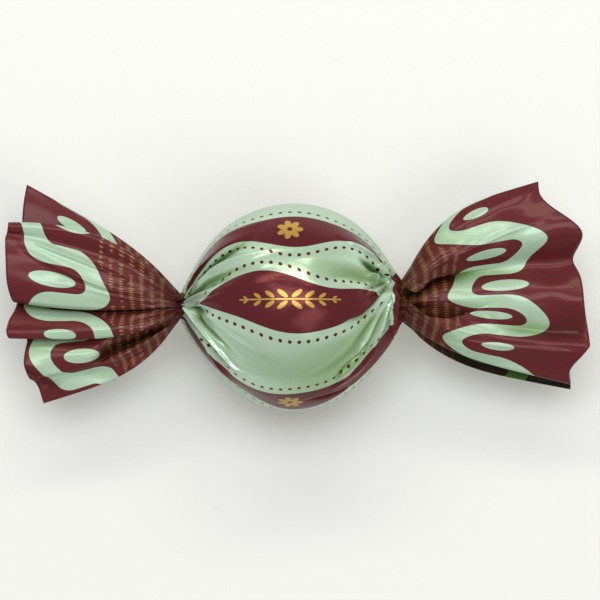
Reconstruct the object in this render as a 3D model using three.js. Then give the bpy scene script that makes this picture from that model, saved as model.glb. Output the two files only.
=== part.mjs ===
// A chocolate truffle in its twist wrapper, lying on its side. One sheet of film goes round the
// ball, is gathered into a narrow neck at each pole and opens again into a flat, pleated tail.
// It is shut all round, so the whole is one solid.
//
// Millimetres. +X runs along the wrapper from tail to tail, +Y across it, +Z up. The origin is
// the middle of the small flat spot that the ball rests on.

import * as THREE from "three";

const BALL_RADIUS = 18.5;
const FLAT_DEPTH = 0.7; // how far the ball is pressed flat where it rests
const SHOULDER = 0.3; // how much narrower than the ball itself the film gets towards a neck
const SHOULDER_RISE = 8; // and how late on the way from the equator
const DENT = 0.2; // how much the film cuts the corner between ball and left neck, on the -Y side
const GATHERS = 10; // folds that the film is drawn into round each pole
const GATHER_SHARE = 0.14; // half the height of a gather, as a share of the local radius
const GATHER_RISE = 6; // how late the gathers start on the way from the equator to a pole
const GATHER_TWIST = 1.1; // radians that a gather turns on its way from the equator to the neck
const DEPTH_EARLY = 0.55; // share of a tail's depth that opens right at the neck
const NECK_FADE = 3; // how fast the round neck gives way to the flat tail
const FLARE_SPEED = 4; // how sudden the early opening of a tail is

const FOLD_CLEARANCE = 0.2; // how far past a fold the film counts as single again

const LOWER_PLEATS = 5; // pleats in the lower layer of each tail
const LOWER_CREST = -3.8; // their crests and valleys, below the neck
const LOWER_VALLEY = -7.2;
const LOWER_TUCK = 1.7; // how much shorter than the upper layer the lower one is

const RING_POINTS = 80;
const TAIL_RINGS = 12;
const BODY_RINGS = 25;

const CENTRE_HEIGHT = BALL_RADIUS - FLAT_DEPTH;

// The upper layer of film at each tail's mouth, from the +Y corner to the -Y corner. Each row is
// a fold or a crest:
// [across the tail from the neck, above or below it, distance from the neck, early]
// where early is the share of its way across that the film has gone soon after the neck.
const LEFT_TAIL = {
  side: -1,
  neckRadius: 2.1,
  neckAcross: 0.2,
  neckShare: 0.03, // how much of the tail's length is still neck
  stretch: 0.04, // how far the neck stands off the ball, as a share of its radius
  upper: [
    [22.3, -1.0, 36.4, 0.3],
    [15.1, 0.6, 33.2, 0.3],
    [12.0, 0.2, 31.8, 0.3],
    [15.2, 2.6, 35.5, 0.3],
    [13.3, 3.8, 35.0, 0.3],
    [8.4, 4.6, 33.6, 0.3],
    [3.8, 3.8, 32.6, 0.3],
    [0.7, 0.4, 30.4, 0.3],
    [-3.1, 2.8, 32.4, 0.6],
    [-5.2, 3.4, 32.9, 1.0],
    [-6.0, 2.4, 32.2, 1.1],
    [-3.8, 0.6, 29.0, 1.0],
    [-6.6, 0.4, 29.4, 0.65],
    [-10.9, 2.0, 31.4, 0.55],
    [-13.4, 1.2, 31.2, 0.55],
    [-14.0, -0.8, 30.2, 0.55],
    [-17.9, -1.4, 31.4, 0.56],
  ],
};

const RIGHT_TAIL = {
  side: 1,
  neckRadius: 3.0,
  neckAcross: 1.0,
  neckShare: 0,
  stretch: 0.095,
  upper: [
    [22.1, -0.6, 33.4, 0.66],
    [18.9, 1.0, 31.4, 0.66],
    [16.9, 2.2, 32.4, 0.66],
    [15.1, 3.2, 34.3, 0.66],
    [12.8, 4.0, 35.9, 0.67],
    [10.6, 2.0, 34.3, 0.68],
    [7.5, -1.5, 31.8, 0.7],
    [5.6, 0.5, 32.9, 0.66],
    [3.1, 2.2, 33.2, 0.6],
    [0.3, 2.8, 33.2, 0.5],
    [-2.5, 1.8, 33.6, 0.5],
    [-5.2, 0.7, 34.4, 0.55],
    [-8.1, 2.4, 35.4, 0.6],
    [-9.7, 2.2, 34.7, 0.63],
    [-12.3, 0.0, 32.7, 0.63],
    [-15.1, -1.5, 34.7, 0.63],
    [-16.4, -2.5, 35.0, 0.63],
  ],
};

// The lower layer closes the mouth from the -Y corner back to the +Y corner, pleated evenly.
function lowerFolds(upper) {
  const from = upper[upper.length - 1];
  const to = upper[0];
  const folds = 2 * LOWER_PLEATS - 1;
  return Array.from({ length: folds }, (_, k) => {
    const [across, , reach, early] = from.map((value, i) =>
      THREE.MathUtils.lerp(value, to[i], (k + 1) / (folds + 1)),
    );
    return [across, k % 2 === 0 ? LOWER_VALLEY : LOWER_CREST, reach - LOWER_TUCK, early];
  });
}

// The mouth's outline as evenly spaced rows, each with the angle at which it leaves the neck:
// the upper layer covers the neck's upper half and the lower layer its lower half.
function mouthRows({ upper }) {
  const corners = [...upper, ...lowerFolds(upper), upper[0]];
  const travelled = [0];
  for (let i = 1; i < corners.length; i++) {
    const [across, depth] = corners[i];
    const [lastAcross, lastDepth] = corners[i - 1];
    travelled.push(travelled[i - 1] + Math.hypot(across - lastAcross, depth - lastDepth));
  }
  const upperLength = travelled[upper.length - 1];
  const wholeLength = travelled[travelled.length - 1];

  const rows = [];
  for (let j = 0, i = 1; j < RING_POINTS; j++) {
    const at = (wholeLength * j) / RING_POINTS;
    while (travelled[i] < at) i++;
    const share = (at - travelled[i - 1]) / (travelled[i] - travelled[i - 1]);
    const row = corners[i].map((value, k) => THREE.MathUtils.lerp(corners[i - 1][k], value, share));
    const angle =
      at < upperLength
        ? (Math.PI * at) / upperLength
        : Math.PI * (1 + (at - upperLength) / (wholeLength - upperLength));
    rows.push({ row, angle });
  }
  return rows;
}

// Film doesn't fold to a knife edge: each row is eased towards its neighbours.
function roundFolds(rows) {
  const last = rows.length - 1;
  return rows.map(({ row, angle }, j) => {
    const before = rows[j === 0 ? last : j - 1].row;
    const after = rows[j === last ? 0 : j + 1].row;
    const [across, depth, reach, early] = row.map((value, k) => (before[k] + 2 * value + after[k]) / 4);
    return { across, depth, reach, early, angle };
  });
}

// How far a fold has opened at a share of the way from the neck to the mouth.
function flare(early, share) {
  return (1 - early) * share + early * (1 - (1 - share) ** FLARE_SPEED);
}

// Crests and sharp valleys of the gathers, from -1 to 1.
function gatherWave(angle, latitude) {
  const turned = angle + GATHER_TWIST * Math.sin(latitude) ** 3;
  return 2 * Math.abs(Math.sin((GATHERS * turned) / 2)) - 1;
}

// One ring of film in a tail: a point for each row, share of the way from the neck to the mouth.
function tailRing({ side, neckRadius, neckAcross, neckShare, stretch }, rows, share) {
  const open = Math.max(0, (share - neckShare) / (1 - neckShare));
  const round = (1 - open) ** NECK_FADE;
  const neckX = BALL_RADIUS * (1 + stretch);
  return rows.map(({ across, depth, reach, early, angle }) => {
    const radius = neckRadius * (1 + GATHER_SHARE * gatherWave(angle, (side * Math.PI) / 2)) * round;
    const run = Math.sqrt(reach ** 2 - across ** 2 - depth ** 2);
    return new THREE.Vector3(
      side * (neckX + run * share),
      neckAcross + radius * Math.cos(angle) + across * flare(early, open),
      CENTRE_HEIGHT + radius * Math.sin(angle) + depth * flare(DEPTH_EARLY, open),
    );
  });
}

// One ring of film round the ball. At a latitude of 90 degrees it is the neck.
function bodyRing(latitude, leftRows, rightRows) {
  const { neckRadius, neckAcross, stretch } = latitude < 0 ? LEFT_TAIL : RIGHT_TAIL;
  const sine = Math.sin(latitude);
  const poleward = Math.abs(sine);
  const x = BALL_RADIUS * sine * (1 + stretch * poleward ** 6);
  const ball = BALL_RADIUS * Math.cos(latitude) * (1 - SHOULDER * poleward ** SHOULDER_RISE);
  const radius = Math.hypot(ball, neckRadius * poleward ** 4);
  const gather = GATHER_SHARE * poleward ** GATHER_RISE;
  const dent = latitude < 0 ? DENT * sine ** 2 * Math.cos(latitude) : 0;
  return leftRows.map((left, j) => {
    const angle = THREE.MathUtils.lerp(left.angle, rightRows[j].angle, (sine + 1) / 2);
    const dented = 1 - dent * Math.max(0, -Math.cos(angle)) ** 2;
    const gathered = radius * dented * (1 + gather * gatherWave(angle, latitude));
    return new THREE.Vector3(
      x,
      neckAcross * poleward ** 4 + gathered * Math.cos(angle),
      Math.max(0, CENTRE_HEIGHT + gathered * Math.sin(angle)),
    );
  });
}

// The flat end of a tail: its mouth, closed in slices across the tail, so that no facet spans a
// notch in its edge. A slice ends where the upper layer isn't folded over itself, and runs from
// there to the nearest point of the lower layer.
function mouthTriangles(ring, offset, flip) {
  const across = ring.map((p) => p.y);
  const corner = across.indexOf(Math.min(...across));
  const triangles = [];
  let upper = 0;
  let lower = RING_POINTS - 1;
  for (let i = 1; i <= corner; i++) {
    const foldedBack = across[i] > Math.min(...across.slice(0, i)) - FOLD_CLEARANCE;
    const foldedOver = across[i] < Math.max(...across.slice(i + 1, corner + 1)) + FOLD_CLEARANCE;
    if (i < corner && (foldedBack || foldedOver)) continue;
    for (; lower > corner + 1 && across[lower - 1] > across[i]; lower--) {
      triangles.push([upper, lower - 1, lower]);
    }
    const slice = ring.slice(upper, i + 1).map((_, k) => upper + k);
    slice.push(lower);
    const outline = slice.map((k) => new THREE.Vector2(ring[k].y, ring[k].z));
    for (const corners of THREE.ShapeUtils.triangulateShape(outline, [])) {
      triangles.push(corners.map((k) => slice[k]));
    }
    upper = i;
  }
  return triangles.map(([a, b, c]) => (flip ? [a, c, b] : [a, b, c]).map((k) => k + offset));
}

// A closed skin over the rings, in order from one mouth to the other.
function skinOver(rings) {
  const triangles = [];
  for (let i = 0; i + 1 < rings.length; i++) {
    for (let j = 0; j < RING_POINTS; j++) {
      const next = (j + 1) % RING_POINTS;
      const here = i * RING_POINTS;
      const beyond = here + RING_POINTS;
      triangles.push([here + j, here + next, beyond + next], [here + j, beyond + next, beyond + j]);
    }
  }
  const lastOffset = (rings.length - 1) * RING_POINTS;
  triangles.push(...mouthTriangles(rings[0], 0, true));
  triangles.push(...mouthTriangles(rings[rings.length - 1], lastOffset, false));

  const geometry = new THREE.BufferGeometry().setFromPoints(rings.flat());
  geometry.setIndex(triangles.flat());
  geometry.computeVertexNormals();
  return geometry;
}

function wrappedTruffle() {
  const leftRows = roundFolds(mouthRows(LEFT_TAIL));
  const rightRows = roundFolds(mouthRows(RIGHT_TAIL));
  const rings = [];
  for (let i = TAIL_RINGS; i > 0; i--) rings.push(tailRing(LEFT_TAIL, leftRows, i / TAIL_RINGS));
  for (let i = 0; i < BODY_RINGS; i++) {
    rings.push(bodyRing(Math.PI * (i / (BODY_RINGS - 1) - 0.5), leftRows, rightRows));
  }
  for (let i = 1; i <= TAIL_RINGS; i++) rings.push(tailRing(RIGHT_TAIL, rightRows, i / TAIL_RINGS));

  const film = new THREE.MeshStandardMaterial({ color: 0x6b2c33, roughness: 0.35, metalness: 0.2 });
  const mesh = new THREE.Mesh(skinOver(rings), film);
  mesh.name = "wrapped_truffle";
  return mesh;
}

const truffle = new THREE.Group();
truffle.add(wrappedTruffle());

export default truffle;
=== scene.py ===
"""A chocolate truffle in its printed twist wrapper, lying on its side on a pale floor.

The film is one sheet, modelled as a tube: an open, pleated tail, a gathered neck, the ball, a
second neck and a second tail. It is cut into four meshes, the tails and the ball's two halves,
that meet at the necks and in the middle of the ball. Lengths are millimetres until a mesh is
made. +X runs from tail to tail, +Y across, +Z up, and the camera looks straight down. A place
on the flat film is t, round it from the +Y side over the top, and s, along it from the middle
of the ball towards +X.
"""

import math

import bpy
import numpy as np
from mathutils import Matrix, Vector


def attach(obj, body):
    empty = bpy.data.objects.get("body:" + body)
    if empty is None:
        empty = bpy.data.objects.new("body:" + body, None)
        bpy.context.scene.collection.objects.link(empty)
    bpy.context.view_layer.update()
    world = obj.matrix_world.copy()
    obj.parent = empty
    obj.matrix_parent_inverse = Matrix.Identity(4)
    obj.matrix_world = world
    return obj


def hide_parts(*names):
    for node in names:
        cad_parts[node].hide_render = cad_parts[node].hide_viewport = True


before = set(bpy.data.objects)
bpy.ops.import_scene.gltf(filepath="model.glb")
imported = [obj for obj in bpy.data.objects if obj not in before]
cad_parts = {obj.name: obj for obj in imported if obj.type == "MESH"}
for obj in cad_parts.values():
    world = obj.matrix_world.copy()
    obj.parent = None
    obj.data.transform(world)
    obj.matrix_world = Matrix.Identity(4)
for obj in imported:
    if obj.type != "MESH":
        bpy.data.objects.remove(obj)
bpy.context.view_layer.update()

MM = 0.001
UV_UNIT = 100.0  # millimetres of film per unit of the UV map
WRAPPER_NODE = "wrapped_truffle"
SEED = 7
UP = np.array([0.0, 0.0, 1.0])

# ---------------------------------------------------------------- sizes

BALL_RADIUS = 18.5
FLAT_DEPTH = 0.7  # how far the ball is pressed flat where it rests
CENTRE_HEIGHT = BALL_RADIUS - FLAT_DEPTH
FILM_WIDTH = 2 * math.pi * BALL_RADIUS  # once round the ball
PRINT_REPEAT = FILM_WIDTH / 3
POLE = math.pi / 2 * BALL_RADIUS  # along the film from the equator to a neck
TAIL_FILM = 33.0  # and from a neck to the film's edge
FILM_THICKNESS = 0.05

COLUMNS = 560
TAIL_STATIONS = 88
BALL_STATIONS = 355
TAIL_SPACING = 1.15  # above 1 if a tail's rings lie closer together near its neck
SHOWN_SHARE = 0.62  # share of the columns that the upper half gets

SHOULDER = 0.3  # how much narrower than the ball itself the film gets towards a neck
SHOULDER_RISE = 8  # and how late on the way from the equator
NECK_RISE = 4  # how late the film takes up the neck's radius and place
STRETCH_RISE = 6  # how late it leaves the ball for the neck
BALL_HOLD = 12  # how late the print leaves the ball's even spacing for the folded tail's
DENT = 0.2  # how much the film cuts the corner between ball and left neck, on the -Y side
DEPTH_EARLY = 0.55  # share of a tail's depth that opens right at the neck
NECK_FADE = 3  # how fast the round neck gives way to the flat tail
FLARE_SPEED = 4  # how sudden the early opening of a tail is
LOWER_PLEATS = 5  # pleats in the lower layer of each tail
LOWER_CREST = -3.8  # their crests and valleys, below the neck
LOWER_VALLEY = -7.2
LOWER_TUCK = 4.2  # how much shorter than the upper layer the lower one is
EDGE_TURN = 0.5  # how far below the upper layer's last fold the lower layer starts
FOLD_ROUNDING = 0.3  # how widely a fold is rounded
SOFT_ROUNDING = 1.3  # and how widely a soft bend is

# Folds and crests of the upper layer at each mouth, from the +Y corner to the -Y corner:
# across the tail from the neck, above or below it, distance from the neck, share of its way
# across that the film has gone soon after the neck, sideways bow on the way, 1 if soft, and
# how much painted shade the film gets there, inside a fold.
DEPTH, REACH, SOFT, PAINTED_SHADE_COLUMN = 1, 2, 5, 6  # places in a row
LEFT_TAIL = {
    "side": -1,
    "neck_radius": 2.1,
    "neck_across": 0.2,
    "neck_share": 0.03,
    "stretch": 0.04,
    "upper": [
        (22.3, -1.0, 36.4, 0.3, 0.0, 0, 0),
        (15.1, 0.4, 33.2, 0.3, 0.0, 0, 0.2),
        (11.4, 0.0, 31.8, 0.3, 0.0, 0, 1.2),
        (14.9, 1.7, 35.4, 0.4, 2.6, 0, 0),
        (15.3, 2.9, 35.5, 0.4, 2.6, 0, 0),
        (14.6, 3.8, 35.3, 0.4, 2.4, 0, 0),
        (13.6, 3.5, 35.0, 0.4, 1.8, 0, 0),
        (13.2, 2.7, 34.9, 0.35, 1.2, 0, 0),
        (12.4, 3.3, 34.9, 0.3, 0.6, 0, 0),
        (8.4, 4.5, 33.6, 0.3, 0.0, 1, 0),
        (3.8, 4.3, 32.6, 0.3, -0.4, 1, 0),
        (1.3, 3.6, 31.6, 0.3, -1.1, 0, 0),
        (0.5, 2.6, 31.0, 0.3, -1.2, 0, 0.3),
        (2.0, 0.9, 30.6, 0.3, -1.1, 0, 3.0),
        (0.9, -0.3, 30.4, 0.3, -1.1, 0, 1.2),
        (-0.8, 0.6, 30.9, 0.4, -0.9, 0, 0),
        (-3.1, 2.1, 32.4, 0.6, -0.5, 1, 0),
        (-4.5, 3.2, 32.8, 0.9, -0.2, 0, 0),
        (-5.7, 2.9, 32.7, 1.1, 0.0, 0, 0),
        (-6.1, 2.1, 32.2, 1.1, 0.0, 0, 0),
        (-3.6, 0.2, 29.0, 1.0, 0.0, 0, 3.0),
        (-6.6, 0.2, 29.4, 0.65, 0.0, 0, 0.3),
        (-10.9, 2.0, 31.4, 0.55, 0.0, 1, 0),
        (-13.4, 1.2, 31.2, 0.55, 0.0, 0, 0),
        (-14.0, -0.8, 30.2, 0.55, 0.0, 1, 0),
        (-17.9, -1.4, 31.4, 0.56, 0.0, 0, 0),
    ],
}

RIGHT_TAIL = {
    "side": 1,
    "neck_radius": 3.0,
    "neck_across": 1.0,
    "neck_share": 0.0,
    "stretch": 0.095,
    "upper": [
        (22.1, -0.6, 33.4, 0.66, 0.0, 0, 0),
        (18.9, 1.0, 31.4, 0.66, 0.0, 1, 0),
        (16.9, 2.2, 32.4, 0.66, 0.0, 1, 0),
        (15.1, 3.2, 34.3, 0.66, 0.0, 1, 0),
        (12.8, 4.0, 35.9, 0.67, 0.0, 1, 0),
        (10.6, 2.0, 34.3, 0.68, 0.0, 1, 0),
        (7.5, -1.5, 31.8, 0.7, 0.0, 1, 0),
        (5.6, 0.5, 32.9, 0.66, 0.0, 1, 0),
        (3.1, 2.2, 33.2, 0.6, 0.0, 1, 0),
        (0.3, 2.8, 33.2, 0.5, 0.0, 1, 0),
        (-2.5, 1.8, 33.6, 0.5, 0.0, 1, 0),
        (-5.2, 0.7, 34.4, 0.55, 0.0, 1, 0),
        (-8.1, 2.4, 35.4, 0.6, 0.0, 0, 0),
        (-9.7, 2.2, 34.7, 0.63, 0.0, 1, 0),
        (-12.3, 0.0, 32.7, 0.6, 0.0, 1, 0),
        (-14.7, -0.7, 34.2, 0.52, 0.0, 0, 0),
        (-15.3, -1.5, 34.5, 0.5, 0.0, 0, 0.3),
        (-14.8, -2.4, 34.4, 0.5, 0.0, 0, 1.1),
        (-12.6, -3.0, 33.6, 0.5, 0.0, 0, 3.0),
        (-16.2, -4.4, 35.4, 0.63, 0.0, 0, 2.1),
    ],
}

# Creases of the shown side: points (x, y) from the neck outwards, height above the film
# (below it if negative), how far it leans over to the left, width to the left and to the right
# of the line, and the shares of its length over which it rises and dies out.
BALL_CREASES = [  # the sharp ones
    ([(-19.3, 1.3), (-17.5, 4.0), (-15.1, 6.7), (-10.9, 10.0), (-5.7, 12.9)],
     -1.2, 0.9, 0.5, 0.8, 0.1, 0.5),
    ([(-18.8, 3.4), (-16.4, 6.9), (-12.3, 10.6), (-9.1, 12.4), (-5.2, 14.1)],
     0.6, -0.7, 1.4, 0.4, 0.3, 0.5),
    ([(-18.2, 3.0), (-15.1, 5.4), (-11.6, 7.7), (-7.0, 9.4), (-2.5, 10.4)],
     0.8, 0.0, 0.6, 0.9, 0.2, 0.6),
    ([(-19.5, 1.3), (-17.5, 2.6), (-15.1, 4.4), (-12.6, 5.6), (-9.0, 6.9), (-4.0, 7.6)],
     -0.9, 0.3, 0.5, 0.7, 0.1, 0.6),
    ([(-19.3, 0.5), (-17.3, 0.2), (-13.5, 1.8), (-10.8, 2.4), (-6.5, 2.9)],
     0.7, -0.2, 0.5, 1.1, 0.1, 0.6),
    ([(-18.4, -0.1), (-17.0, -0.6), (-14.6, -1.8)], -1.4, 0.5, 0.8, 0.8, 0.2, 0.6),
    ([(-19.7, 0.7), (-16.3, -3.3), (-12.6, -7.8), (-9.8, -10.9), (-7.1, -12.1), (-4.0, -12.6)],
     0.9, 0.3, 0.35, 0.9, 0.1, 0.4),
    ([(-17.4, -1.2), (-14.8, -3.8), (-11.4, -7.2), (-8.6, -9.5)], -1.0, -0.6, 1.0, 0.45, 0.1, 0.6),
    ([(-19.5, -0.9), (-18.6, -2.2), (-14.2, -8.4), (-11.1, -12.6), (-8.9, -14.8)],
     0.5, 0.0, 0.45, 0.6, 0.2, 0.4),
    ([(-18.2, -1.7), (-15.2, -6.2), (-12.4, -10.0), (-9.6, -13.2)], -0.5, 0.0, 0.45, 0.4, 0.2, 0.4),
    ([(-12.0, 12.6), (-8.0, 14.2), (-3.0, 15.4)], 0.25, 0.0, 0.6, 0.9, 0.4, 0.5),
    ([(18.0, 4.6), (16.6, 6.9), (15.1, 8.6), (13.1, 10.0), (10.4, 11.6), (6.9, 13.3)],
     0.9, 0.5, 0.3, 2.4, 0.05, 0.5),
    ([(17.9, 4.7), (16.4, 6.3), (14.6, 7.6), (12.2, 9.0)], -1.8, -0.8, 1.3, 0.5, 0.2, 0.6),
    ([(17.9, 4.7), (16.6, 5.6), (15.1, 5.8), (12.9, 5.2)], 0.6, -0.2, 1.1, 0.35, 0.1, 0.6),
    ([(18.0, 4.4), (14.9, 3.1), (11.7, 0.7), (8.5, -0.6)], -0.8, 0.0, 0.5, 0.7, 0.1, 0.6),
    ([(18.0, 4.2), (13.9, 2.0), (9.3, -1.5)], 0.7, -0.2, 0.5, 0.8, 0.1, 0.6),
    ([(18.0, 3.6), (14.4, -0.5), (12.6, -2.0), (9.9, -2.7), (7.4, -2.6)],
     -1.1, -0.4, 0.8, 0.35, 0.1, 0.5),
    ([(18.1, 3.1), (16.0, -2.0), (13.1, -7.5), (11.0, -10.5)], 0.6, 0.0, 0.6, 0.5, 0.1, 0.4),
    ([(18.2, 2.9), (16.6, -2.4), (13.8, -7.8), (11.9, -10.8)], -0.6, 0.0, 0.5, 0.6, 0.1, 0.4),
    ([(18.3, 1.6), (17.3, -3.0), (14.8, -9.2)], 0.45, -0.2, 0.4, 0.5, 0.1, 0.4),
    ([(15.9, -7.4), (13.1, -10.6), (10.8, -12.6), (6.7, -15.7)], 0.6, -0.1, 1.0, 0.6, 0.2, 0.4),
    ([(14.3, -7.4), (11.1, -10.9), (7.8, -14.0)], -0.9, 0.2, 0.6, 0.8, 0.2, 0.5),
    ([(16.0, -9.3), (15.2, -10.8), (11.5, -13.9)], -0.6, 0.0, 0.4, 0.4, 0.3, 0.4),
    ([(10.6, -14.2), (6.7, -16.2), (2.0, -17.3)], -0.5, 0.0, 0.4, 0.5, 0.3, 0.5),
]
SOFT_CREASES = [  # low, broad streaks that run on over the ball
    ([(-18.5, 1.2), (-12.0, 0.8), (-6.0, -0.5), (0.0, -1.5)], 0.37, 0.0, 0.8, 1.6, 0.3, 0.7),
    ([(-18.0, -0.3), (-12.0, -2.8), (-7.0, -5.2), (-2.0, -7.0)], 0.51, 0.0, 0.8, 1.5, 0.3, 0.7),
    ([(-15.0, -2.5), (-10.0, -6.0), (-4.0, -9.5), (1.0, -11.0)], -0.42, 0.0, 1.2, 1.2, 0.3, 0.7),
    ([(-18.0, 2.2), (-12.0, 5.0), (-6.0, 6.8), (1.0, 7.2)], -0.51, 0.0, 0.9, 0.9, 0.3, 0.7),
    ([(-18.3, 1.8), (-12.0, 3.2), (-6.0, 4.2), (1.0, 4.4)], 0.37, 0.0, 0.8, 1.3, 0.3, 0.7),
    ([(-17.0, 4.5), (-10.0, 8.5), (-3.0, 10.5), (4.0, 10.8)], 0.48, 0.0, 1.2, 0.7, 0.3, 0.6),
    ([(17.8, 2.0), (11.0, -3.5), (5.0, -7.0), (0.0, -8.5)], 0.51, 0.0, 1.0, 1.6, 0.2, 0.7),
    ([(17.8, 4.4), (11.0, 5.5), (5.0, 5.4), (-1.0, 4.8)], -0.42, 0.0, 1.0, 1.4, 0.2, 0.7),
    ([(17.5, 5.2), (11.0, 8.0), (5.0, 9.0), (-2.0, 8.6)], 0.42, 0.0, 0.9, 1.3, 0.2, 0.7),
    ([(17.8, 1.0), (12.0, -7.0), (6.0, -11.5), (0.0, -13.5)], -0.42, 0.0, 1.2, 1.0, 0.2, 0.7),
]
NECK_CREASES = [  # those that go round a neck's collar
    ([(17.6, 6.6), (18.1, 4.2), (18.6, 1.3), (18.4, -2.0), (17.9, -5.0), (16.8, -6.8)],
     -0.5, 0.2, 0.5, 0.4, 0.3, 0.3),
    ([(19.0, 5.0), (19.4, 2.6), (19.6, -0.5), (19.1, -3.6)], 0.45, 0.0, 0.8, 0.8, 0.3, 0.3),
    ([(20.6, 4.0), (20.5, 1.8), (20.6, -0.2), (20.4, -2.2)], -0.7, -0.2, 0.35, 0.35, 0.2, 0.2),
    ([(-20.6, 3.2), (-20.2, 1.0), (-20.3, -2.2)], -0.5, 0.0, 0.4, 0.4, 0.2, 0.2),
]

LEFT_CREASES = [  # on the left tail
    ([(-35.7, 13.3), (-43.0, 15.1)], 0.15, 0.0, 0.3, 0.3, 0.4, 0.4),
    ([(-29.9, 4.8), (-31.9, 6.0), (-50.0, 13.1)], 0.5, 0.0, 0.3, 0.5, 0.3, 0.3),
    ([(-26.6, 2.4), (-31.9, 3.0), (-38.3, 5.4), (-51.3, 11.7)], 0.55, 0.0, 0.3, 0.6, 0.3, 0.3),
    ([(-24.6, 0.8), (-31.4, 1.9), (-40.1, 4.0), (-46.5, 5.0)], 0.3, 0.0, 0.3, 0.6, 0.4, 0.5),
    ([(-27.0, 1.5), (-36.0, 3.4), (-45.0, 7.0)], -0.35, 0.0, 0.8, 0.8, 0.4, 0.5),
]
LOWER_LEFT_CREASES = [  # on its lowest panel only
    ([(-22.4, -3.2), (-26.6, -5.4), (-30.6, -7.1), (-32.4, -7.9), (-35.0, -9.7), (-38.0, -10.6)],
     -2.4, 0.4, 0.7, 1.0, 0.2, 0.4),
    ([(-24.0, -5.0), (-30.4, -8.8), (-35.6, -12.0)], 0.6, 0.0, 0.8, 1.5, 0.2, 0.5),
    ([(-49.8, -10.6), (-44.5, -13.7), (-40.0, -14.8)], -0.7, 0.0, 1.2, 1.2, 0.1, 0.4),
]
RIGHT_CREASES = [  # on the right tail
    ([(20.4, 3.0), (22.4, 2.1), (23.9, 2.4), (26.4, 4.3), (29.0, 4.9), (34.6, 6.2), (41.9, 7.5)],
     -2.2, 0.7, 0.6, 0.9, 0.1, 0.8),
    ([(20.8, 4.2), (22.9, 3.4), (25.4, 5.4), (28.6, 6.2), (33.0, 7.6)],
     0.5, -0.6, 1.2, 0.4, 0.1, 0.7),
    ([(20.8, 2.4), (22.6, 0.9), (25.2, -1.1), (26.4, -1.6), (29.7, -1.5), (33.4, -0.3),
      (38.5, 1.2)], -1.4, -0.6, 1.6, 0.35, 0.1, 0.6),
    ([(20.8, 1.4), (24.0, -1.6), (26.6, -2.3), (30.0, -2.1), (34.0, -0.8)],
     0.6, 0.4, 0.3, 1.2, 0.1, 0.6),
    ([(30.6, 9.4), (35.9, 11.8), (39.6, 13.5), (48.1, 16.6)], 0.45, 0.0, 0.8, 0.4, 0.4, 0.4),
    ([(29.5, 14.0), (37.0, 18.2), (46.0, 21.9)], 0.3, 0.0, 0.5, 0.6, 0.4, 0.3),
    ([(30.0, -5.8), (37.0, -6.9), (48.5, -8.0), (53.6, -8.2)], 0.35, 0.0, 0.3, 0.6, 0.4, 0.2),
    ([(29.0, -6.4), (32.8, -7.8), (38.6, -9.4)], 0.5, 0.0, 1.1, 1.1, 0.4, 0.6),
    ([(36.5, -2.0), (40.1, -3.8), (54.1, -5.1)], -0.7, 0.0, 2.0, 1.2, 0.4, 0.1),
]
LOWEST_PANEL = 46.0  # t at which the left tail's lowest panel starts
CREASE_AT_NECK = 0.3  # share of its height and width that a crease has at its first point
CREASE_SHAPE = 1.5  # 1 for a crease with a sharp crest, 2 for a rounded one
NARROWEST = 0.33  # least width of a crease
SHOWN_SINE = -0.2  # sine of the angle round the film down to which the creases reach
NECK_CREASE_REACH = 7.0  # along the film from a neck

# Pairs are for the tail's side of a neck and for the ball's.
GATHER_DEPTH = 0.42
GATHER_FADE = (2.0, 4.0)  # length over which the gathers fade
GATHER_TWIST = 1.1  # radians
GATHER_DRIFT = 0.05  # and radians per millimetre along the film
NECK_PAINTED_SHADE = (0.7, 0.4)  # painted shade at a neck, where folds crowd
NECK_PAINTED_SHADE_FADE = (6.0, 1.2)
BALL_PLEATS = 46  # seeded pleats at each neck
LONGEST_BALL_PLEAT = 26.0
TAIL_PLEATS = (  # how many, the longest, the spread of heights, width
    (30, 12.0, 0.24, 0.25),
    (26, 28.0, 0.2, 0.5),
)
BALL_WAVES = 14
TAIL_WAVES = 8
FOLD_DEPTH_OF_FULL_PAINTED_SHADE = 1.2  # depth of a fold at which its painted shade is darkest
PAINTED_SHADE_FROM_NECK = 2.5  # how soon after the neck a tail's folds get their painted shade, as 1 / share of its length


# ---------------------------------------------------------------- the film's surface


def lower_folds(upper):
    """The lower layer's folds, from the -Y corner back to the +Y corner, pleated evenly."""
    start, end = np.array(upper[-1]), np.array(upper[0])
    first = start.copy()
    first[DEPTH] -= EDGE_TURN
    first[PAINTED_SHADE_COLUMN] = 0
    folds = [tuple(first)]
    count = 2 * LOWER_PLEATS - 1
    for k in range(count):
        row = start + (end - start) * (k + 1) / (count + 1)
        row[DEPTH] = LOWER_VALLEY if k % 2 == 0 else LOWER_CREST
        row[REACH] -= LOWER_TUCK
        row[SOFT], row[PAINTED_SHADE_COLUMN] = 1, 0
        folds.append(tuple(row))
    return folds


def blurred(values, spacing, width):
    """Values round a closed ring, blurred by a Gaussian of that width."""
    reach = int(math.ceil(3 * width / spacing))
    weights = np.exp(-0.5 * (np.arange(-reach, reach + 1) * spacing / width) ** 2)
    weights /= weights.sum()
    padded = np.concatenate([values[-reach:], values, values[:reach]])
    return np.stack([np.convolve(column, weights, "valid") for column in padded.T], axis=1)


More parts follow.
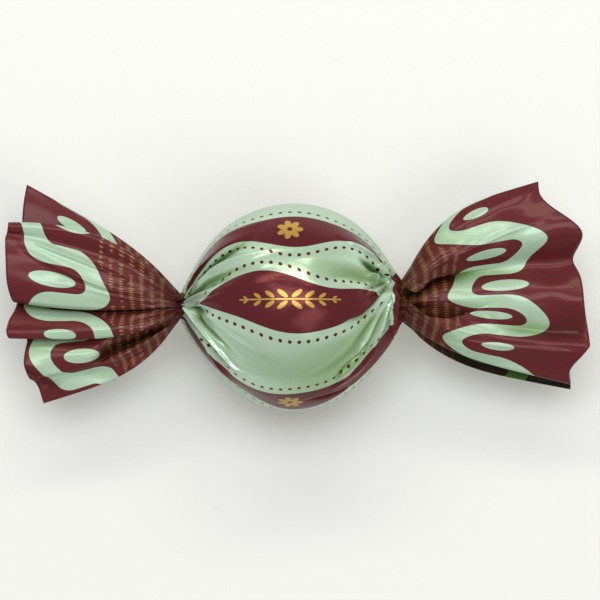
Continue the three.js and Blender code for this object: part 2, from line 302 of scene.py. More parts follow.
def mouth_rows(tail, shares):
    """Rows of the mouth's outline at these shares of its length, and the angle of each."""
    corners = np.array(tail["upper"] + lower_folds(tail["upper"]) + tail["upper"][:1], float)
    steps = np.hypot(*np.diff(corners[:, :2], axis=0).T)
    travelled = np.concatenate([[0], np.cumsum(steps)])
    whole = travelled[-1]
    upper_share = travelled[len(tail["upper"]) - 1] / whole

    fine = 4 * COLUMNS
    at = np.arange(fine) * whole / fine
    raw = np.stack([np.interp(at, travelled, column) for column in corners.T], axis=1)
    sharp = blurred(raw, whole / fine, FOLD_ROUNDING)
    soft = blurred(raw, whole / fine, SOFT_ROUNDING)
    softness = sharp[:, SOFT : SOFT + 1]
    rounded = sharp * (1 - softness) + soft * softness
    rounded = np.concatenate([rounded, rounded[:1]])
    ring = np.linspace(0, 1, fine + 1)
    rows = np.stack([np.interp(shares, ring, column) for column in rounded.T], axis=1)
    angle = np.interp(shares, [0, upper_share, 1], [0, math.pi, 2 * math.pi])
    return rows, angle


def flare(early, share):
    """How far a fold has opened at a share of the way from the neck to the mouth."""
    return (1 - early) * share + early * (1 - (1 - share) ** FLARE_SPEED)


def tail_ring(tail, rows, angle, share):
    """One ring of film in a tail."""
    across, depth, reach, early, bow = rows.T[:5]
    open_share = max(0.0, (share - tail["neck_share"]) / (1 - tail["neck_share"]))
    radius = tail["neck_radius"] * (1 - open_share) ** NECK_FADE
    neck_x = BALL_RADIUS * (1 + tail["stretch"])
    run = np.sqrt(reach**2 - across**2 - depth**2)
    bowed = bow * 4 * open_share * (1 - open_share)
    x = tail["side"] * (neck_x + run * share)
    y = tail["neck_across"] + radius * np.cos(angle) + across * flare(early, open_share) + bowed
    z = CENTRE_HEIGHT + radius * np.sin(angle) + depth * flare(DEPTH_EARLY, open_share)
    return np.stack([x, y, z], axis=1)


def ball_ring(latitude, left_angle, right_angle):
    """One ring of film round the ball, and the angle of each of its points."""
    tail = LEFT_TAIL if latitude < 0 else RIGHT_TAIL
    sine = math.sin(latitude)
    poleward = abs(sine)
    x = BALL_RADIUS * sine * (1 + tail["stretch"] * poleward**STRETCH_RISE)
    ball = BALL_RADIUS * math.cos(latitude) * (1 - SHOULDER * poleward**SHOULDER_RISE)
    radius = math.hypot(ball, tail["neck_radius"] * poleward**NECK_RISE)
    dent = DENT * sine**2 * math.cos(latitude) if latitude < 0 else 0.0
    angle = left_angle + (right_angle - left_angle) * (sine + 1) / 2
    dented = radius * (1 - dent * np.maximum(0, -np.cos(angle)) ** 2)
    y = tail["neck_across"] * poleward**NECK_RISE + dented * np.cos(angle)
    z = CENTRE_HEIGHT + dented * np.sin(angle)
    return np.stack([np.full_like(y, x), y, z], axis=1), angle


def column_shares():
    """Places of the columns round the film, closer together on the shown side."""
    half = 0.5
    shown = int(COLUMNS * SHOWN_SHARE)
    upper = np.arange(shown) / shown * half
    lower = half + np.arange(COLUMNS - shown + 1) / (COLUMNS - shown) * half
    return np.concatenate([upper, lower])


def bare_film():
    """Rings of points from the left mouth to the right one, with t, s, angle and painted shade.

    The last column lies on the first, so that t runs on to its full value.
    """
    shares = column_shares()
    mouths = {tail["side"]: mouth_rows(tail, shares) for tail in (LEFT_TAIL, RIGHT_TAIL)}
    flat_t = shares * FILM_WIDTH
    tail_shares = (np.arange(1, TAIL_STATIONS) / (TAIL_STATIONS - 1)) ** TAIL_SPACING

    def tail_rings(tail):
        rows, angle = mouths[tail["side"]]
        rings = []
        for share in tail_shares:
            along = np.full_like(flat_t, tail["side"] * (POLE + TAIL_FILM * share))
            # Painted shade inside the mouth's folds, growing in from the neck.
            painted_shade = rows[:, PAINTED_SHADE_COLUMN] * smooth(PAINTED_SHADE_FROM_NECK * share)
            rings.append((tail_ring(tail, rows, angle, share), flat_t, along, angle, painted_shade))
        return rings

    rings = tail_rings(LEFT_TAIL)[::-1]
    for latitude in np.linspace(-math.pi / 2, math.pi / 2, BALL_STATIONS):
        points, angle = ball_ring(latitude, mouths[-1][1], mouths[1][1])
        on_ball = 1 - abs(latitude / (math.pi / 2)) ** BALL_HOLD
        t = angle * BALL_RADIUS * on_ball + flat_t * (1 - on_ball)
        rings.append((points, t, np.full_like(t, BALL_RADIUS * latitude), angle, 0 * t))
    rings += tail_rings(RIGHT_TAIL)
    return (np.array(values) for values in zip(*rings))


def outward(points):
    """The unit normal at each point of the rings."""
    along = np.gradient(points, axis=0)
    closed = np.concatenate([points[:, -2:-1], points, points[:, 1:2]], axis=1)
    around = closed[:, 2:] - closed[:, :-2]
    normal = np.cross(around, along)
    return normal / np.linalg.norm(normal, axis=2, keepdims=True)


# ---------------------------------------------------------------- folds and creases


def smooth(share):
    """From 0 to 1 with a soft start and end, as the share goes from 0 to 1."""
    share = np.clip(share, 0, 1)
    return share * share * (3 - 2 * share)


def curve_through(points, steps=5):
    """A Catmull-Rom curve through the points."""
    points = np.array(points, float)
    ends = np.concatenate([[2 * points[0] - points[1]], points, [2 * points[-1] - points[-2]]])
    curve = []
    for a, b, c, d in zip(ends, ends[1:], ends[2:], ends[3:]):
        for u in np.arange(steps) / steps:
            bent = (2 * a - 5 * b + 4 * c - d) * u**2 + (3 * b - a - 3 * c + d) * u**3
            curve.append(b + ((c - a) * u + bent) / 2)
    return np.array(curve + [points[-1]])


def beside(places, normals, path):
    """Distance of each place from a path, positive to its left, the share of its length, and
    the unit vector to its left."""
    steps = np.diff(path, axis=0)
    lengths = np.linalg.norm(steps, axis=1)
    travelled = np.concatenate([[0], np.cumsum(lengths)])
    nearest = np.full(len(places), np.inf)
    signed = np.zeros(len(places))
    share = np.zeros(len(places))
    leftward = np.zeros_like(places)
    for start, step, length, before in zip(path, steps, lengths, travelled):
        offset = places - start
        along = np.clip(offset @ step / length**2, 0, 1)
        gap = offset - along[:, None] * step
        distance = np.linalg.norm(gap, axis=1)
        side = np.sign(np.einsum("ij,ij->i", np.cross(step, gap), normals))
        nearer = distance < nearest
        nearest[nearer] = distance[nearer]
        signed[nearer] = (distance * side)[nearer]
        share[nearer] = ((before + along * length) / travelled[-1])[nearer]
        leftward[nearer] = np.cross(normals, step / length)[nearer]
    return signed, share, leftward


def crease(places, normals, path, height, lean, left, right, rises, dies):
    """How far one crease moves each place: up along its normal, and over to the left."""
    reach = 4 * max(left, right)
    low, high = path.min(axis=0) - reach, path.max(axis=0) + reach
    near = np.all((places > low) & (places < high), axis=1)
    move = np.zeros_like(places)
    distance, share, leftward = beside(places[near], normals[near], path)
    width = np.where(distance > 0, left, right)
    width *= CREASE_AT_NECK + (1 - CREASE_AT_NECK) * smooth(2 * share)
    width = np.maximum(width, NARROWEST)
    size = CREASE_AT_NECK + (1 - CREASE_AT_NECK) * smooth(share / rises)
    size *= smooth((1 - share) / dies)
    size *= np.exp(-np.abs(distance / width) ** CREASE_SHAPE)
    move[near] = size[:, None] * (height * normals[near] + lean * leftward)
    return move


def on_film(path, places):
    """The points of a path in the picture's plane, lifted onto the nearest places of the film."""
    gaps = np.linalg.norm(path[:, None] - places[None, :, :2], axis=2)
    return np.column_stack([path, places[gaps.argmin(axis=1), 2]])


def creases_move(points, normals, chosen, creases, flat):
    """How far all these creases move the chosen points, and 0 elsewhere.

    If flat, distances are measured in the picture's plane, and creases rise straight up.
    """
    places = points[chosen].copy()
    facing = normals[chosen]
    if flat:
        places[:, 2] = 0
        facing = np.broadcast_to(UP, places.shape)
    move = np.zeros_like(points)
    for path, *form in creases:
        move[chosen] += crease(places, facing, on_film(curve_through(path), places), *form)
    return move


def gather_wave(angle, twist):
    """Uneven crests and sharp valleys of the gathers round a neck, from -1 to 1."""
    turned = angle + twist
    wave = 0.55 * (2 * np.abs(np.sin(5 * turned)) - 1)
    wave += 0.3 * (2 * np.abs(np.sin(8.5 * turned + 0.8 * np.sin(3 * turned))) - 1)
    wave += 0.15 * np.sin(31 * turned + 2 * np.sin(2 * turned))
    return wave


def gathers(s, angle):
    """Close pleats at each neck that fade out both ways."""
    from_neck = np.abs(s) - POLE
    fade = np.where(from_neck > 0, *GATHER_FADE)
    depth = GATHER_DEPTH * np.exp(-np.abs(from_neck) / fade)
    twist = GATHER_TWIST * np.sign(s) + GATHER_DRIFT * from_neck * np.sign(s)
    return depth * gather_wave(angle, twist)


def neck_painted_shade(s):
    """Painted shade round each neck, where folds crowd and hide the light."""
    from_neck = np.abs(s) - POLE
    fade = np.where(from_neck > 0, *NECK_PAINTED_SHADE_FADE)
    return np.where(from_neck > 0, *NECK_PAINTED_SHADE) * np.exp(-np.abs(from_neck) / fade)


def ball_pleats(rng, t, s, angle):
    """Seeded pleats that run out from each neck over the ball."""
    lift = np.zeros_like(t)
    weaker = 0.7 + 0.3 * smooth(0.5 - 1.5 * np.sin(angle))
    for side in (-1, 1):
        run = POLE - side * s
        for _ in range(BALL_PLEATS):
            at = rng.uniform(0, FILM_WIDTH)
            length = rng.uniform(0.3, 1.0) * LONGEST_BALL_PLEAT
            height = rng.normal(0, 0.26)
            width = rng.uniform(0.6, 1.6)
            drift = rng.normal(0, 1.5)
            gap = t - at - drift * (run / length) ** 2
            gap = (gap + FILM_WIDTH / 2) % FILM_WIDTH - FILM_WIDTH / 2
            spread = width * (0.6 + 0.8 * run / length)
            fade = np.where(run > 0, smooth(run / 3) * smooth(1 - run / length), 0)
            lift += height * fade * np.exp(-np.abs(gap / spread) ** CREASE_SHAPE)
    return lift * weaker


def ball_slack(rng, t, s):
    """Seeded broad unevenness of the loose film on the ball."""
    lift = np.zeros_like(t)
    for _ in range(BALL_WAVES):
        turns = rng.integers(2, 10)
        slope = rng.uniform(-0.22, 0.22)
        phase = rng.uniform(0, 2 * math.pi)
        lift += rng.normal(0, 0.09) * np.sin(turns * t / BALL_RADIUS + slope * s + phase)
    return lift * smooth((POLE + 3 - np.abs(s)) / 6)


def tail_pleats(rng, tail, x, y):
    """Seeded pleats of a tail, as rays in the picture's plane from its neck: (x, y) are places."""
    run = tail["side"] * x - BALL_RADIUS
    across = y - tail["neck_across"]
    rise = np.zeros_like(x)
    for count, longest, size, thin in TAIL_PLEATS:
        for _ in range(count):
            slope = rng.uniform(-0.65, 0.65)
            length = rng.uniform(0.4, 1.0) * longest
            height = rng.normal(0, size)
            width = rng.uniform(1, 2.4) * thin
            bend = rng.normal(0, 0.004)
            gap = (across - slope * run - bend * run**2) / math.hypot(1, slope)
            spread = width * (0.4 + run.clip(0) / length)
            fade = smooth(run / 3) * smooth(1 - run / length)
            rise += height * fade * np.exp(-np.abs(gap / spread) ** CREASE_SHAPE)
    return rise


def tail_slack(rng, x, y):
    """Seeded broad unevenness of a tail."""
    rise = np.zeros_like(x)
    for _ in range(TAIL_WAVES):
        heading = rng.normal(math.pi / 2, 0.25)
        turned = x * math.cos(heading) + y * math.sin(heading)
        rise += 0.05 * np.sin(turned * rng.uniform(0.4, 1.3) + rng.uniform(0, 2 * math.pi))
    return rise * smooth((np.abs(x) - BALL_RADIUS) / 12)


def creased_film():
    """The film with all its creases: its points, and t, s and the painted shade at each.

    A crease of a tail moves all that lies under it straight up or down, so that no layer cuts
    through another. All other creases move the film along its normal.
    """
    points, t, s, angle, painted_shade = bare_film()
    normals = outward(points)
    upper = np.sin(angle) > SHOWN_SINE
    near_neck = upper & (np.abs(np.abs(s) - POLE) < NECK_CREASE_REACH)
    lowest = smooth((t - LOWEST_PANEL) / 2)[:, :, None]

    rng = np.random.default_rng(SEED)
    lift = gathers(s, angle)
    lift += np.where(np.abs(s) < POLE, ball_pleats(rng, t, s, angle), 0) + ball_slack(rng, t, s)
    on_ball = upper & (np.abs(s) <= POLE)
    folds = creases_move(points, normals, on_ball, BALL_CREASES + SOFT_CREASES, False)
    folds += creases_move(points, normals, near_neck, NECK_CREASES, False)
    low_folds = creases_move(points, normals, upper & (s < -POLE), LOWER_LEFT_CREASES, True)
    folds += lowest * low_folds
    rise = np.zeros_like(t)
    for tail, creases in ((LEFT_TAIL, LEFT_CREASES), (RIGHT_TAIL, RIGHT_CREASES)):
        part = tail["side"] * s > POLE
        x, y = points[part][:, 0], points[part][:, 1]
        rise[part] = tail_pleats(rng, tail, x, y) + tail_slack(rng, x, y)
        folds += creases_move(points, normals, upper & part, creases, True)
    moved = points + folds + lift[:, :, None] * normals + rise[:, :, None] * UP
    sunk = -np.einsum("ijk,ijk->ij", folds, normals) - lift - rise
    moved[:, -1] = moved[:, 0]
    moved[:, :, 2] = np.maximum(0, moved[:, :, 2])
    # Painted shade: darker where the film sinks into a crease, and darker round the necks.
    painted_shade = np.maximum(painted_shade, smooth(sunk / FOLD_DEPTH_OF_FULL_PAINTED_SHADE)) + neck_painted_shade(s)
    return moved, np.stack([t, s, painted_shade], axis=2)


def make_mesh(name, points, normals, film, materials, cap=None):
    """A tube of quads through the rings, with t and s as its UV map.

    The ring at the cap's index, if there is one, is closed by a fan in the second material.
    """
    rings, columns = points.shape[0], points.shape[1] - 1
    ring, column = np.meshgrid(np.arange(rings - 1), np.arange(columns), indexing="ij")
    corner_ring = np.stack([ring, ring, ring + 1, ring + 1], axis=-1).reshape(-1, 4)
    corner_column = np.stack([column, column + 1, column + 1, column], axis=-1).reshape(-1, 4)
    faces = (corner_ring * columns + corner_column % columns).tolist()
    places = film[corner_ring, corner_column].reshape(-1, 3)[:, :2]
    vertices = points[:, :-1].reshape(-1, 3)
    facing = normals[:, :-1].reshape(-1, 3)
    # Painted shade of each vertex, from the folds and the necks, kept as an attribute for the
    # material.
    folds = film[:, :-1, 2].ravel()
    if cap is not None:
        middle = points[cap, :-1].mean(axis=0)
        edge = (cap % rings) * columns + np.arange(columns)
        fan = np.stack([edge, np.roll(edge, -1), np.full(columns, len(vertices))], axis=1)
        faces += fan.tolist()
        places = np.concatenate([places, np.zeros((3 * columns, 2))])
        vertices = np.concatenate([vertices, [middle]])
        facing = np.concatenate([facing, [np.sign(middle) * (1, 0, 0)]])
        folds = np.concatenate([folds, [0.0]])

    mesh = bpy.data.meshes.new(name)
    mesh.from_pydata((vertices * MM).tolist(), [], faces)
    uv = mesh.uv_layers.new(name="film")
    uv.data.foreach_set("uv", (places / UV_UNIT).astype(np.float32).ravel())
    attribute = mesh.attributes.new("painted_shade_attribute", "FLOAT", "POINT")
    attribute.data.foreach_set("value", folds.astype(np.float32))
    for material in materials:
        mesh.materials.append(material)
    for polygon in list(mesh.polygons)[(rings - 1) * columns :]:
        polygon.material_index = 1
    mesh.shade_smooth()
    mesh.normals_split_custom_set_from_vertices(facing.tolist())
    obj = bpy.data.objects.new(name, mesh)
    bpy.context.scene.collection.objects.link(obj)
    return obj


# ---------------------------------------------------------------- patterns from Math nodes

# Places along t and s, and half widths, in millimetres on the flat film.
PRINT_SHIFT = -2.75  # of the print's own middle along the film
PRINT_HALF = 62.0  # half of the print's length
BALL_FIELD = 26.15  # half of the mint part's length
MAIN_RIBBON, MAIN_HALF = 28.0, 4.6
CLOSING_AT = 18.5  # how far along the main ribbon its two sides meet
OTHER_RIBBON, OTHER_HALF = 11.6, 3.2
BEADS_OFF = 1.7  # from a ribbon's edge to the middle of its beads
BEAD_SPACING, BEAD_RADIUS = 1.7, 0.36
SPRIG_AT, SPRIG_HALF = 27.6, 9.3
ROSETTE_AT, ROSETTE_RADIUS, ROSETTE_PETALS = 13.2, 2.4, 7
TAIL_RIBBON, TAIL_RIBBON_HALF = 13.0, 1.9  # in from the film's edge
MARK_SPACING, MARK_ROW, MARK_HALF = 0.7, 1.9, 0.19
MARK_ROWS = (36.2, 6.2)  # middle and half of the rows' zone
MARKS_MISSING = 0.15  # share of the marks that is left out


class Field:
    """A number over the surface, worked out by Math nodes."""

    def __init__(self, tree, socket):
        self.tree = tree
        self.socket = socket

    def op(self, operation, *others):
        node = self.tree.nodes.new("ShaderNodeMath")
        node.operation = operation
        for place, value in enumerate((self, *others)):
            if isinstance(value, Field):
                self.tree.links.new(value.socket, node.inputs[place])
            else:
                node.inputs[place].default_value = value
        return Field(self.tree, node.outputs[0])

    def __add__(self, other):
        return self.op("ADD", other)

    def __sub__(self, other):
        return self.op("SUBTRACT", other)

    def __mul__(self, other):
        return self.op("MULTIPLY", other)

    def __truediv__(self, other):
        return self.op("DIVIDE", other)

    def __neg__(self):
        return self.op("MULTIPLY", -1.0)

    def abs(self):
        return self.op("ABSOLUTE")

    def min(self, other):
        return self.op("MINIMUM", other)

    def max(self, other):
        return self.op("MAXIMUM", other)

    def joined(self, other, soft):
        """The lesser of two fields, with the corner between them rounded."""
        return self.op("SMOOTH_MIN", other, soft)

    def wrapped(self, period):
        """The distance from the nearest whole number of periods, with its sign."""
        return self.op("WRAP", period / 2, -period / 2)

    def wave(self, period, size, phase=0.0):
        """A sine of the field, with its phase in turns."""
        turn = self * (2 * math.pi / period) + 2 * math.pi * phase
        return turn.op("SINE") * size

    def inside(self, soft=0.05):
        """1 where the field is below zero and 0 where it is above, with a soft step."""
        return (self * (-1 / soft) + 0.5).min(1.0).max(0.0)


def ellipse(across, along, half_across, half_along):
    """Less than zero inside an ellipse about the origin of the two fields."""
    a = across / half_across
    b = along / half_along
    return ((a * a + b * b).op("SQRT") - 1.0) * min(half_across, half_along)


def tilted(across, along, degrees):
    """The two fields turned about their origin."""
    cosine, sine = math.cos(math.radians(degrees)), math.sin(math.radians(degrees))
    return across * cosine + along * sine, along * cosine - across * sine


def ball_print(t, s):
    """The burgundy fields on the ball: two unlike wavy ribbons in each repeat, and beads."""
    main = t - (s.wave(33, 1.3, 0.06) + MAIN_RIBBON)
    closing = (s / CLOSING_AT).op("POWER", 6.0) * MAIN_HALF
    main = main.wrapped(PRINT_REPEAT).abs() + closing - (s.wave(25, 0.8, 0.35) + MAIN_HALF)
    other = t - (s.wave(36, 1.9, 0.25) + OTHER_RIBBON)
    other = other.wrapped(PRINT_REPEAT).abs() - (s.wave(21, 0.8, 0.2) + OTHER_HALF)
    ribbons = main.joined(other, soft=2.0)
    beads = ellipse(ribbons - BEADS_OFF, s.wrapped(BEAD_SPACING), BEAD_RADIUS, BEAD_RADIUS)
    return ribbons.min(beads)


def serpentine(t, e, pitch, straight):
    """The distance from a line that winds along t in half circles, and its own coordinates.

    The line runs straight across for a short way between each two half circles.
    """
    x = t.wrapped(2 * pitch)
    in_bay = x.abs() - pitch / 2
    height = e * x.op("SIGN")
    past_top = (height - straight / 2).max(0)
    past_foot = (height + straight / 2).min(0)
    round_top = (in_bay * in_bay + past_top * past_top).op("SQRT") - pitch / 2
    beside_bay = in_bay.abs() - pitch
    round_foot = (beside_bay * beside_bay + past_foot * past_foot).op("SQRT") - pitch / 2
    above = height.op("GREATER_THAN", 0.0)
    distance = round_foot.abs() * (-above + 1.0) + round_top.abs() * above
    return distance, in_bay, height


def tail_print(t, edge):
    """The mint fields on a tail: a winding ribbon with a long pebble in each of its bays."""
    pitch = PRINT_REPEAT / 4
    bent_t = t + t.wave(PRINT_REPEAT, 1.5, 0.15)
    bent_e = edge - TAIL_RIBBON + t.wave(PRINT_REPEAT / 3, 0.9, 0.4)
    distance, in_bay, height = serpentine(bent_t, bent_e, pitch, straight=4.0)
    ribbon = distance - (t.wave(PRINT_REPEAT / 2, 0.3, 0.7) + TAIL_RIBBON_HALF)
    size = t.wave(PRINT_REPEAT, 0.2, 0.6) + 1.0
    pebble = ellipse(in_bay / size, (height + 1.2) / size, 1.35, 3.6)
    return ribbon.min(pebble)


def sprig(t, s):
    """A gold stem along s with pairs of leaves that get smaller towards its ends."""
    from_middle = s.abs()
    beyond = from_middle - SPRIG_HALF
    stem = t.abs() - 0.14
    size = (s * s) * (-0.75 / SPRIG_HALF**2) + 1.0
    leaf_s, leaf_t = tilted((from_middle - 1.3).wrapped(2.3) / size, t.abs() / size - 1.05, 38)
    leaves = ellipse(leaf_s, leaf_t, 1.15, 0.42)
    return stem.min(leaves).max(beyond)


def rosette(t, s, radius, petals):
    """A gold flower with a hole in its middle."""
    distance = (t * t + s * s).op("SQRT")
    petal = (t.op("ARCTAN2", s) * (petals / 2)).op("COSINE").abs()
    flower = distance - (petal * (0.45 * radius) + 0.55 * radius)
    return flower.max(-(distance - 0.2 * radius))


# ---------------------------------------------------------------- materials


def new_material(name):
    """A material, its node tree and its Principled BSDF."""
    material = bpy.data.materials.new(name)
    material.use_nodes = True
    tree = material.node_tree
    return material, tree, tree.nodes["Principled BSDF"]


def rgb(code):
    """A colour written as in the photo's own sRGB, as Blender's linear one."""
    channels = [int(code[i : i + 2], 16) / 255 for i in (0, 2, 4)]
    linear = [c / 12.92 if c <= 0.04045 else ((c + 0.055) / 1.055) ** 2.4 for c in channels]
    return (*linear, 1.0)


MIX_SHARE, MIX_FIRST, MIX_SECOND = 0, 6, 7  # inputs of a Mix node that mixes colours
MIX_RESULT = 2


def mixed(tree, share, first, second):
    """The first colour where the share is 0, and the second one where it is 1."""
    node = tree.nodes.new("ShaderNodeMix")
    node.data_type = "RGBA"
    tree.links.new(share.socket, node.inputs[MIX_SHARE])
    for place, colour in ((MIX_FIRST, first), (MIX_SECOND, second)):
        if isinstance(colour, tuple):
            node.inputs[place].default_value = colour
        else:
            tree.links.new(colour, node.inputs[place])
    return node.outputs[MIX_RESULT]


# One printed mint, painted lighter on the ball and darker on the tails to even out how the lamps
# fall on them.
BALL_MINT_LIT = rgb("bcd6bf")
TAIL_MINT_SHADED = rgb("b0cab5")
BURGUNDY = rgb("64262c")
GOLD = rgb("c09a4c")
DULL_GOLD = rgb("96724a")
PAINTED_FOLD_TINT = (0.33, 0.42, 0.19)  # share of red, green and blue left by painted fold shade at a darkness of 1

GRAIN = (0.7, 0.35)  # of the film's fine unevenness, per millimetre of t and of s
GRAIN_DEPTH = 0.05
ROUGHNESS_SPREAD = 0.14


def with_painted_shade(tree, colour, painted_darkness):
    """A colour with painted shade: darker and greener inside a fold, standing in for light bounced
    from film to film.
    """
    left = tree.nodes.new("ShaderNodeCombineColor")
    for place, share in enumerate(PAINTED_FOLD_TINT):
        channel = (painted_darkness * math.log(share)).op("EXPONENT")
        tree.links.new(channel.socket, left.inputs[place])
    product = tree.nodes.new("ShaderNodeMix")
    product.data_type = "RGBA"
    product.blend_type = "MULTIPLY"
    product.inputs[MIX_SHARE].default_value = 1.0
    tree.links.new(colour, product.inputs[MIX_FIRST])
    tree.links.new(left.outputs[0], product.inputs[MIX_SECOND])
    return product.outputs[MIX_RESULT]


def noise(tree, vector, scale, detail):
    node = tree.nodes.new("ShaderNodeTexNoise")
    node.inputs["Scale"].default_value = scale
    node.inputs["Detail"].default_value = detail
    tree.links.new(vector, node.inputs["Vector"])
    return Field(tree, node.outputs[0])


def combined(tree, x, y):
    """The two fields as a vector."""
    node = tree.nodes.new("ShaderNodeCombineXYZ")
    tree.links.new(x.socket, node.inputs[0])
    tree.links.new(y.socket, node.inputs[1])
    return node.outputs[0]


def small_marks(tree, t, from_middle):
    """Rows of tiny dull-gold beads round the film, in the inner part of each tail."""
    spot = t / MARK_SPACING
    row = from_middle / MARK_ROW
    cell = combined(tree, spot.op("ROUND"), row.op("ROUND"))
    white = tree.nodes.new("ShaderNodeTexWhiteNoise")
    white.noise_dimensions = "2D"
    tree.links.new(cell, white.inputs["Vector"])
    chance = Field(tree, white.outputs["Value"])
    height = (chance * 3.0).op("FRACT") * 0.3 + 0.25
    across = spot.wrapped(1.0) * MARK_SPACING / MARK_HALF
    along = row.wrapped(1.0) * MARK_ROW / height
    bead = ((across * across + along * along).op("SQRT") - 1.0) * MARK_HALF
    missing = -(chance - MARKS_MISSING)
    zone_middle, zone_half = MARK_ROWS
    zone = (from_middle - zone_middle).abs() - zone_half
    return bead.max(missing).max(zone)


def printed_colour(tree, t, s):
    """Mint on the ball and burgundy on the tails, with small gold ornaments."""
    from_middle = (s - PRINT_SHIFT).abs()
    edge = -(from_middle - PRINT_HALF)
    ball = mixed(tree, ball_print(t, s).inside(), BALL_MINT_LIT, BURGUNDY)
    fields = tail_print(t, edge)
    tail = mixed(tree, fields.inside(), BURGUNDY, TAIL_MINT_SHADED)
    marks = small_marks(tree, t, from_middle).max(-(fields - 0.8))
    tail = mixed(tree, marks.inside(0.1), tail, DULL_GOLD)
    colour = mixed(tree, (from_middle - BALL_FIELD).inside(), tail, ball)
    gold = sprig((t - SPRIG_AT).wrapped(PRINT_REPEAT), s)
    from_rosette = (t - ROSETTE_AT).wrapped(PRINT_REPEAT)
    gold = gold.min(rosette(from_rosette, s, ROSETTE_RADIUS, ROSETTE_PETALS))
    return mixed(tree, gold.inside(), colour, GOLD)


def film_material(name, metallic, roughness, gloss, coat):
    """Printed film, with painted shade in its folds and round its necks, and finely uneven."""
    material, tree, shader = new_material(name)
    uv = tree.nodes.new("ShaderNodeUVMap")
    uv.uv_map = "film"
    split = tree.nodes.new("ShaderNodeSeparateXYZ")
    tree.links.new(uv.outputs[0], split.inputs[0])
    t = Field(tree, split.outputs[0]) * UV_UNIT
    s = Field(tree, split.outputs[1]) * UV_UNIT
    # Painted shade, read from the mesh's attribute and multiplied into the printed colour.
    painted_shade_attribute = tree.nodes.new("ShaderNodeAttribute")
    painted_shade_attribute.attribute_name = "painted_shade_attribute"
    painted_darkness = Field(tree, painted_shade_attribute.outputs["Fac"])
    colour = with_painted_shade(tree, printed_colour(tree, t, s), painted_darkness)
    tree.links.new(colour, shader.inputs["Base Color"])

    fine = noise(tree, combined(tree, t * GRAIN[0], s * GRAIN[1]), 1.0, 3.0)
    uneven = fine * ROUGHNESS_SPREAD + (roughness - ROUGHNESS_SPREAD / 2)
    tree.links.new(uneven.socket, shader.inputs["Roughness"])
    bump = tree.nodes.new("ShaderNodeBump")
    bump.inputs["Strength"].default_value = 1.0
    bump.inputs["Distance"].default_value = GRAIN_DEPTH * MM
    tree.links.new(fine.socket, bump.inputs["Height"])
    tree.links.new(bump.outputs[0], shader.inputs["Normal"])
    shader.inputs["Metallic"].default_value = metallic
    shader.inputs["Specular Tint"].default_value = (0.55, 0.55, 0.55, 1)
    shader.inputs["Specular IOR Level"].default_value = gloss
    shader.inputs["Coat Weight"].default_value = coat
    shader.inputs["Coat Roughness"].default_value = 0.1
    return material


def lining_material():
    """The film's unprinted inside, a dull silver."""
    material, tree, shader = new_material("film_lining")
    shader.inputs["Base Color"].default_value = rgb("c9cfc9")
    shader.inputs["Metallic"].default_value = 0.6
    shader.inputs["Roughness"].default_value = 0.4
    return material


# ---------------------------------------------------------------- the object


def make_wrapper():
    """The film's four pieces, which all stand for the one solid of the CAD."""
    points, film = creased_film()
    tail_film = film_material("tail_film", metallic=0.1, roughness=0.28, gloss=0.2, coat=0.12)
    ball_film = film_material("ball_film", metallic=0.35, roughness=0.22, gloss=0.35, coat=0.0)
    looks = {
        "film_left_tail": tail_film,
        "film_ball_left": ball_film,
        "film_ball_right": ball_film,
        "film_right_tail": tail_film,
    }
    lining = lining_material()
    normals = outward(points)
    neck, middle = TAIL_STATIONS - 1, len(points) // 2
    spans = {
        "film_left_tail": (slice(None, neck + 1), None),
        "film_ball_left": (slice(neck, middle + 1), 0),
        "film_ball_right": (slice(middle, -neck), -1),
        "film_right_tail": (slice(-neck - 1, None), None),
    }
    for name, (span, cap) in spans.items():
        parts = points[span], normals[span], film[span]
        piece = make_mesh(name, *parts, [looks[name], lining], cap)
        if cap is None:
            thick = piece.modifiers.new("thickness", "SOLIDIFY")
            thick.thickness = FILM_THICKNESS * MM
            thick.offset = -1
            thick.material_offset = 1
        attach(piece, "root")
        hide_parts(WRAPPER_NODE)


# ---------------------------------------------------------------- floor, light, camera

# Metres, unlike above.
FLOOR_HALF = 1.2
PIXEL = 0.1823 * MM  # of the photograph, at the height of the ball's middle
PHOTO_WIDTH = 600
PHOTO_MIDDLE = (10, 7)  # in pixels from the ball's middle
CAMERA_DISTANCE = 0.75
SENSOR = 36.0  # but millimetres, as Blender's cameras have it


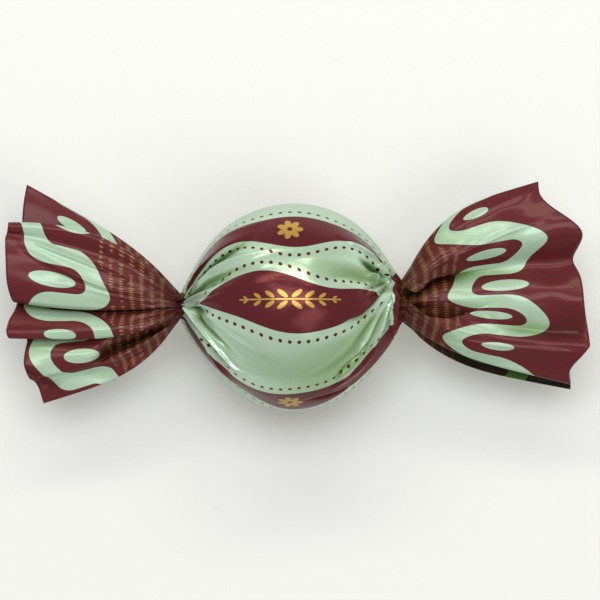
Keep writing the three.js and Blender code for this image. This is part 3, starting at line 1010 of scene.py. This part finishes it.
def make_floor():
    signs = ((-1, -1), (1, -1), (1, 1), (-1, 1))
    corners = [(FLOOR_HALF * x, FLOOR_HALF * y, 0) for x, y in signs]
    mesh = bpy.data.meshes.new("floor")
    mesh.from_pydata(corners, [], [(0, 1, 2, 3)])
    floor = bpy.data.objects.new("floor", mesh)
    bpy.context.scene.collection.objects.link(floor)
    material, tree, shader = new_material("pale_floor")
    shader.inputs["Base Color"].default_value = (0.9, 0.9, 0.9, 1)
    shader.inputs["Roughness"].default_value = 0.9
    shader.inputs["Specular IOR Level"].default_value = 0.2
    mesh.materials.append(material)


def area_light(name, place, size, watts, colour, aim=(0, 0, 0.018)):
    data = bpy.data.lights.new(name, "AREA")
    data.color = colour
    data.shape = "RECTANGLE"
    data.size, data.size_y = size
    data.energy = watts
    light = bpy.data.objects.new(name, data)
    bpy.context.scene.collection.objects.link(light)
    light.location = place
    away = Vector(aim) - Vector(place)
    light.rotation_euler = away.to_track_quat("-Z", "Y").to_euler()


def make_lights():
    world = bpy.data.worlds.new("studio")
    bpy.context.scene.world = world
    world.use_nodes = True
    background = world.node_tree.nodes["Background"]
    background.inputs[0].default_value = (1, 1, 1, 1)
    background.inputs[1].default_value = 0.42
    area_light("key", (-0.05, 0.5, 0.5), (0.7, 0.1), 1.4, (1, 0.99, 0.78))
    area_light("overhead", (0.0, 0.22, 0.85), (0.6, 0.35), 3.2, (0.98, 0.99, 1))
    area_light("fill", (0.3, -0.25, 0.65), (0.35, 0.35), 0.8, (0.97, 1, 0.78))
    bpy.context.scene.view_settings.view_transform = "Standard"


def make_camera():
    """Straight above the truffle, with the photograph's frame and +Y up in the picture."""
    data = bpy.data.cameras.new("camera")
    data.sensor_width = SENSOR
    data.lens = SENSOR * CAMERA_DISTANCE / (PHOTO_WIDTH * PIXEL)
    camera = bpy.data.objects.new("camera", data)
    bpy.context.scene.collection.objects.link(camera)
    x, y = PHOTO_MIDDLE
    camera.location = (x * PIXEL, y * PIXEL, CENTRE_HEIGHT * MM + CAMERA_DISTANCE)
    camera.rotation_euler = (0, 0, 0)
    bpy.context.scene.camera = camera


make_camera()
make_wrapper()
make_floor()
make_lights()
